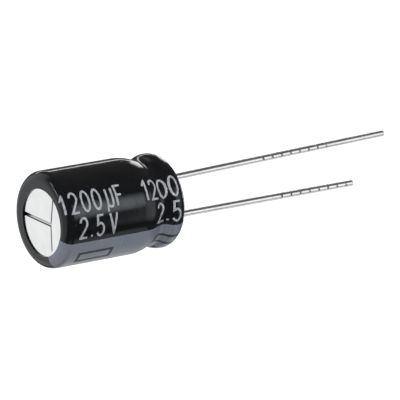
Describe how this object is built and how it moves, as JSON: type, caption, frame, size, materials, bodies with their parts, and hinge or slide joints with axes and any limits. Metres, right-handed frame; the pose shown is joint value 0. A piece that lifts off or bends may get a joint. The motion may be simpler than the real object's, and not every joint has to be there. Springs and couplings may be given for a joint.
{
  "type": "electrolytic capacitor",
  "caption": "Radial-lead aluminium electrolytic capacitor: crimped can with a scored vent in a shrink sleeve with a polarity stripe, rubber end seal, wound element and two long tinned leads.",
  "frame": {"origin": "centre of the seating face, on the can's axis", "axes": "+Z along the can's axis to the vent end, leads down -Z, negative lead on the +X side"},
  "size_m": [0.0082, 0.0082, 0.0377],
  "materials": {
    "sleeve": "glossy black heat-shrink film",
    "stripe_ink": "blue-grey ink under the film's gloss",
    "can": "bright deep-drawn aluminium",
    "seal": "matte black rubber",
    "roll": "damp capacitor paper",
    "tape": "amber film tape",
    "terminal": "drawn and pressed aluminium",
    "lead": "bright tin plating with fine feed marks"
  },
  "bodies": {
    "root": {"sleeve": "sleeve", "polarity_stripe": "stripe_ink", "can": "can", "end_seal": "seal", "wound_element": "roll", "element_tape": "tape", "positive_tab": "terminal", "negative_tab": "terminal", "positive_lead": "lead", "negative_lead": "lead"}
  },
  "joints": []
}
